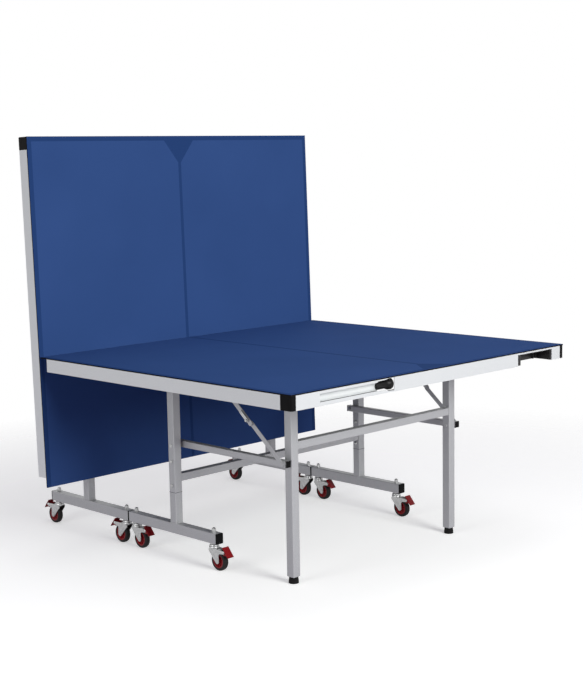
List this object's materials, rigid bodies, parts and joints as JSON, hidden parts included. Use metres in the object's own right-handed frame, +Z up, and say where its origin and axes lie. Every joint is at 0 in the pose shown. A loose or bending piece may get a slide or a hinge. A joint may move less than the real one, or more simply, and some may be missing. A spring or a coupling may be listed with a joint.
{
  "type": "table tennis table",
  "caption": "Roll-away table tennis table in playback position: one half open on folding legs, the other folded upright, each on a wheeled trolley with braked casters.",
  "frame": {"origin": "middle of the whole part's box at floor level", "axes": "+X from the folded half to the open half's player end, +Y across the table, +Z up"},
  "size_m": [1.719, 1.525, 1.6095],
  "materials": {
    "blue_board": "matt blue playing surface on a thin composite board",
    "apron_paint": "satin silver-white powder coat",
    "frame_paint": "satin silver powder coat",
    "silver_tube": "glossy silver metallic paint",
    "zinc": "bright zinc plate",
    "black_plastic": "moulded black plastic",
    "red_plastic": "moulded red plastic",
    "caster_rubber": "black tyre on a red hub",
    "black_rubber": "black rubber"
  },
  "bodies": {
    "near_trolley": {"near_base_rails": "silver_tube", "near_posts": "silver_tube", "near_cross_bar": "silver_tube", "near_rail_caps": "black_plastic", "near_trolley_bolts": "zinc"},
    "near_top": {"near_table_board": "blue_board", "near_apron_frame": "apron_paint", "near_corner_caps": "black_plastic", "near_underframe": "frame_paint", "near_bat_pocket": "black_plastic", "near_ball_trough": "black_plastic"},
    "near_legs": {"near_leg_frame": "silver_tube"},
    "near_links": {"near_link_bars": "silver_tube"},
    "near_upper_braces": {"near_brace_upper": "silver_tube"},
    "near_latches": {"near_brace_latches": "zinc"},
    "near_lower_braces": {"near_brace_lower": "silver_tube"},
    "near_left_foot": {"near_left_foot": "black_rubber"},
    "near_left_inner_fork": {"near_left_inner_fork": "zinc"},
    "near_left_inner_wheel": {"near_left_inner_wheel": "caster_rubber"},
    "near_left_inner_pedal": {"near_left_inner_pedal": "red_plastic"},
    "near_left_outer_fork": {"near_left_outer_fork": "zinc"},
    "near_left_outer_wheel": {"near_left_outer_wheel": "caster_rubber"},
    "near_left_outer_pedal": {"near_left_outer_pedal": "red_plastic"},
    "near_right_foot": {"near_right_foot": "black_rubber"},
    "near_right_inner_fork": {"near_right_inner_fork": "zinc"},
    "near_right_inner_wheel": {"near_right_inner_wheel": "caster_rubber"},
    "near_right_inner_pedal": {"near_right_inner_pedal": "red_plastic"},
    "near_right_outer_fork": {"near_right_outer_fork": "zinc"},
    "near_right_outer_wheel": {"near_right_outer_wheel": "caster_rubber"},
    "near_right_outer_pedal": {"near_right_outer_pedal": "red_plastic"},
    "far_trolley": {"far_base_rails": "silver_tube", "far_posts": "silver_tube", "far_cross_bar": "silver_tube", "far_rail_caps": "black_plastic", "far_trolley_bolts": "zinc"},
    "far_top": {"far_table_board": "blue_board", "far_apron_frame": "apron_paint", "far_corner_caps": "black_plastic", "far_underframe": "frame_paint", "far_bat_pocket": "black_plastic", "far_ball_trough": "black_plastic"},
    "far_legs": {"far_leg_frame": "silver_tube"},
    "far_links": {"far_link_bars": "silver_tube"},
    "far_upper_braces": {"far_brace_upper": "silver_tube"},
    "far_latches": {"far_brace_latches": "zinc"},
    "far_lower_braces": {"far_brace_lower": "silver_tube"},
    "far_left_foot": {"far_left_foot": "black_rubber"},
    "far_left_inner_fork": {"far_left_inner_fork": "zinc"},
    "far_left_inner_wheel": {"far_left_inner_wheel": "caster_rubber"},
    "far_left_inner_pedal": {"far_left_inner_pedal": "red_plastic"},
    "far_left_outer_fork": {"far_left_outer_fork": "zinc"},
    "far_left_outer_wheel": {"far_left_outer_wheel": "caster_rubber"},
    "far_left_outer_pedal": {"far_left_outer_pedal": "red_plastic"},
    "far_right_foot": {"far_right_foot": "black_rubber"},
    "far_right_inner_fork": {"far_right_inner_fork": "zinc"},
    "far_right_inner_wheel": {"far_right_inner_wheel": "caster_rubber"},
    "far_right_inner_pedal": {"far_right_inner_pedal": "red_plastic"},
    "far_right_outer_fork": {"far_right_outer_fork": "zinc"},
    "far_right_outer_wheel": {"far_right_outer_wheel": "caster_rubber"},
    "far_right_outer_pedal": {"far_right_outer_pedal": "red_plastic"}
  },
  "joints": [
    {"name": "near_fold", "type": "hinge", "parent": "near_trolley", "child": "near_top", "pos_m": [-0.0205, 0, 0.729], "axis": [0, -1, 0], "range_deg": [0, 88.4]},
    {"name": "near_leg_swing", "type": "hinge", "parent": "near_top", "child": "near_legs", "pos_m": [0.5295, 0, 0.729], "axis": [0, -1, 0], "range_deg": [-88.41, 0]},
    {"name": "near_link_swing", "type": "hinge", "parent": "near_trolley", "child": "near_links", "pos_m": [-0.0105, 0, 0.4415], "axis": [0, -1, 0], "range_deg": [0, 88.41]},
    {"name": "near_upper_brace_swing", "type": "hinge", "parent": "near_top", "child": "near_upper_braces", "pos_m": [0.2175, 0, 0.715], "axis": [0, -1, 0], "range_deg": [0, 40.75]},
    {"name": "near_lower_brace_swing", "type": "hinge", "parent": "near_legs", "child": "near_lower_braces", "pos_m": [0.5395, 0, 0.4415], "axis": [0, -1, 0], "range_deg": [-49.67, 0]},
    {"name": "near_latch_lift", "type": "hinge", "parent": "near_upper_braces", "child": "near_latches", "pos_m": [0.34375, 0, 0.60776], "axis": [0, -1, 0], "range_deg": [0, 20], "stiffness_Nm_per_rad": 0.05, "springref_deg": -17.19},
    {"name": "near_left_foot_screw", "type": "slide", "parent": "near_legs", "child": "near_left_foot", "axis": [0, 0, -1], "range_m": [0, 0.012]},
    {"name": "near_left_inner_swivel", "type": "hinge", "parent": "near_trolley", "child": "near_left_inner_fork", "pos_m": [-0.25335, -0.519, 0.1], "axis": [0, 0, 1], "range_deg": [-90, 90]},
    {"name": "near_left_inner_spin", "type": "hinge", "parent": "near_left_inner_fork", "child": "near_left_inner_wheel", "pos_m": [-0.22335, -0.519, 0.0375], "axis": [0, 1, 0], "continuous": true},
    {"name": "near_left_inner_brake", "type": "hinge", "parent": "near_left_inner_fork", "child": "near_left_inner_pedal", "pos_m": [-0.18935, -0.519, 0.076], "axis": [0, 1, 0], "range_deg": [0, 8]},
    {"name": "near_left_outer_swivel", "type": "hinge", "parent": "near_trolley", "child": "near_left_outer_fork", "pos_m": [0.2005, -0.519, 0.1], "axis": [0, 0, 1], "continuous": true},
    {"name": "near_left_outer_spin", "type": "hinge", "parent": "near_left_outer_fork", "child": "near_left_outer_wheel", "pos_m": [0.2305, -0.519, 0.0375], "axis": [0, 1, 0], "continuous": true},
    {"name": "near_left_outer_brake", "type": "hinge", "parent": "near_left_outer_fork", "child": "near_left_outer_pedal", "pos_m": [0.2645, -0.519, 0.076], "axis": [0, 1, 0], "range_deg": [0, 8]},
    {"name": "near_right_foot_screw", "type": "slide", "parent": "near_legs", "child": "near_right_foot", "axis": [0, 0, -1], "range_m": [0, 0.012]},
    {"name": "near_right_inner_swivel", "type": "hinge", "parent": "near_trolley", "child": "near_right_inner_fork", "pos_m": [-0.25335, 0.519, 0.1], "axis": [0, 0, 1], "range_deg": [-90, 90]},
    {"name": "near_right_inner_spin", "type": "hinge", "parent": "near_right_inner_fork", "child": "near_right_inner_wheel", "pos_m": [-0.22335, 0.519, 0.0375], "axis": [0, 1, 0], "continuous": true},
    {"name": "near_right_inner_brake", "type": "hinge", "parent": "near_right_inner_fork", "child": "near_right_inner_pedal", "pos_m": [-0.18935, 0.519, 0.076], "axis": [0, 1, 0], "range_deg": [0, 8]},
    {"name": "near_right_outer_swivel", "type": "hinge", "parent": "near_trolley", "child": "near_right_outer_fork", "pos_m": [0.2005, 0.519, 0.1], "axis": [0, 0, 1], "continuous": true},
    {"name": "near_right_outer_spin", "type": "hinge", "parent": "near_right_outer_fork", "child": "near_right_outer_wheel", "pos_m": [0.2305, 0.519, 0.0375], "axis": [0, 1, 0], "continuous": true},
    {"name": "near_right_outer_brake", "type": "hinge", "parent": "near_right_outer_fork", "child": "near_right_outer_pedal", "pos_m": [0.2645, 0.519, 0.076], "axis": [0, 1, 0], "range_deg": [0, 8]},
    {"name": "far_roll", "type": "slide", "parent": "near_trolley", "child": "far_trolley", "axis": [-1, 0, 0], "range_m": [0, 0.4561]},
    {"name": "far_fold", "type": "hinge", "parent": "far_trolley", "child": "far_top", "pos_m": [-0.5485, 0, 0.729], "axis": [0, -1, 0], "range_deg": [0, 88.4]},
    {"name": "far_leg_swing", "type": "hinge", "parent": "far_top", "child": "far_legs", "pos_m": [-0.56386, 0, 1.27879], "axis": [0, -1, 0], "range_deg": [-88.41, 0]},
    {"name": "far_link_swing", "type": "hinge", "parent": "far_trolley", "child": "far_links", "pos_m": [-0.5585, 0, 0.4415], "axis": [0, -1, 0], "range_deg": [0, 88.41]},
    {"name": "far_upper_brace_swing", "type": "hinge", "parent": "far_top", "child": "far_upper_braces", "pos_m": [-0.56914, 0, 0.96652], "axis": [0, -1, 0], "range_deg": [0, 40.75]},
    {"name": "far_lower_brace_swing", "type": "hinge", "parent": "far_legs", "child": "far_lower_braces", "pos_m": [-0.57386, 0, 0.99129], "axis": [0, -1, 0], "range_deg": [-49.67, 0]},
    {"name": "far_latch_lift", "type": "hinge", "parent": "far_upper_braces", "child": "far_latches", "pos_m": [-0.57263, 0, 1.13213], "axis": [0, 1, 0], "range_deg": [0, 20], "stiffness_Nm_per_rad": 0.05, "springref_deg": -17.19},
    {"name": "far_left_foot_screw", "type": "slide", "parent": "far_legs", "child": "far_left_foot", "axis": [0, 0, -1], "range_m": [0, 0.012]},
    {"name": "far_left_inner_swivel", "type": "hinge", "parent": "far_trolley", "child": "far_left_inner_fork", "pos_m": [-0.31565, -0.519, 0.1], "axis": [0, 0, 1], "range_deg": [-90, 90]},
    {"name": "far_left_inner_spin", "type": "hinge", "parent": "far_left_inner_fork", "child": "far_left_inner_wheel", "pos_m": [-0.34565, -0.519, 0.0375], "axis": [0, 1, 0], "continuous": true},
    {"name": "far_left_inner_brake", "type": "hinge", "parent": "far_left_inner_fork", "child": "far_left_inner_pedal", "pos_m": [-0.37965, -0.519, 0.076], "axis": [0, -1, 0], "range_deg": [0, 8]},
    {"name": "far_left_outer_swivel", "type": "hinge", "parent": "far_trolley", "child": "far_left_outer_fork", "pos_m": [-0.7695, -0.519, 0.1], "axis": [0, 0, 1], "continuous": true},
    {"name": "far_left_outer_spin", "type": "hinge", "parent": "far_left_outer_fork", "child": "far_left_outer_wheel", "pos_m": [-0.7995, -0.519, 0.0375], "axis": [0, 1, 0], "continuous": true},
    {"name": "far_left_outer_brake", "type": "hinge", "parent": "far_left_outer_fork", "child": "far_left_outer_pedal", "pos_m": [-0.8335, -0.519, 0.076], "axis": [0, -1, 0], "range_deg": [0, 8]},
    {"name": "far_right_foot_screw", "type": "slide", "parent": "far_legs", "child": "far_right_foot", "axis": [0, 0, -1], "range_m": [0, 0.012]},
    {"name": "far_right_inner_swivel", "type": "hinge", "parent": "far_trolley", "child": "far_right_inner_fork", "pos_m": [-0.31565, 0.519, 0.1], "axis": [0, 0, 1], "range_deg": [-90, 90]},
    {"name": "far_right_inner_spin", "type": "hinge", "parent": "far_right_inner_fork", "child": "far_right_inner_wheel", "pos_m": [-0.34565, 0.519, 0.0375], "axis": [0, 1, 0], "continuous": true},
    {"name": "far_right_inner_brake", "type": "hinge", "parent": "far_right_inner_fork", "child": "far_right_inner_pedal", "pos_m": [-0.37965, 0.519, 0.076], "axis": [0, -1, 0], "range_deg": [0, 8]},
    {"name": "far_right_outer_swivel", "type": "hinge", "parent": "far_trolley", "child": "far_right_outer_fork", "pos_m": [-0.7695, 0.519, 0.1], "axis": [0, 0, 1], "continuous": true},
    {"name": "far_right_outer_spin", "type": "hinge", "parent": "far_right_outer_fork", "child": "far_right_outer_wheel", "pos_m": [-0.7995, 0.519, 0.0375], "axis": [0, 1, 0], "continuous": true},
    {"name": "far_right_outer_brake", "type": "hinge", "parent": "far_right_outer_fork", "child": "far_right_outer_pedal", "pos_m": [-0.8335, 0.519, 0.076], "axis": [0, -1, 0], "range_deg": [0, 8]}
  ],
  "couplings": [
    {"joint": "near_leg_swing", "follows": "near_fold", "ratio": -1},
    {"joint": "near_link_swing", "follows": "near_fold", "ratio": 1},
    {"joint": "near_upper_brace_swing", "follows": "near_fold", "ratio": 0.46081},
    {"joint": "near_lower_brace_swing", "follows": "near_fold", "ratio": -0.56172},
    {"joint": "far_leg_swing", "follows": "far_fold", "ratio": -1},
    {"joint": "far_link_swing", "follows": "far_fold", "ratio": 1},
    {"joint": "far_upper_brace_swing", "follows": "far_fold", "ratio": 0.46081},
    {"joint": "far_lower_brace_swing", "follows": "far_fold", "ratio": -0.56172},
    {"joint": "far_roll", "follows": "far_fold", "m_per_rad": 0.29555}
  ]
}
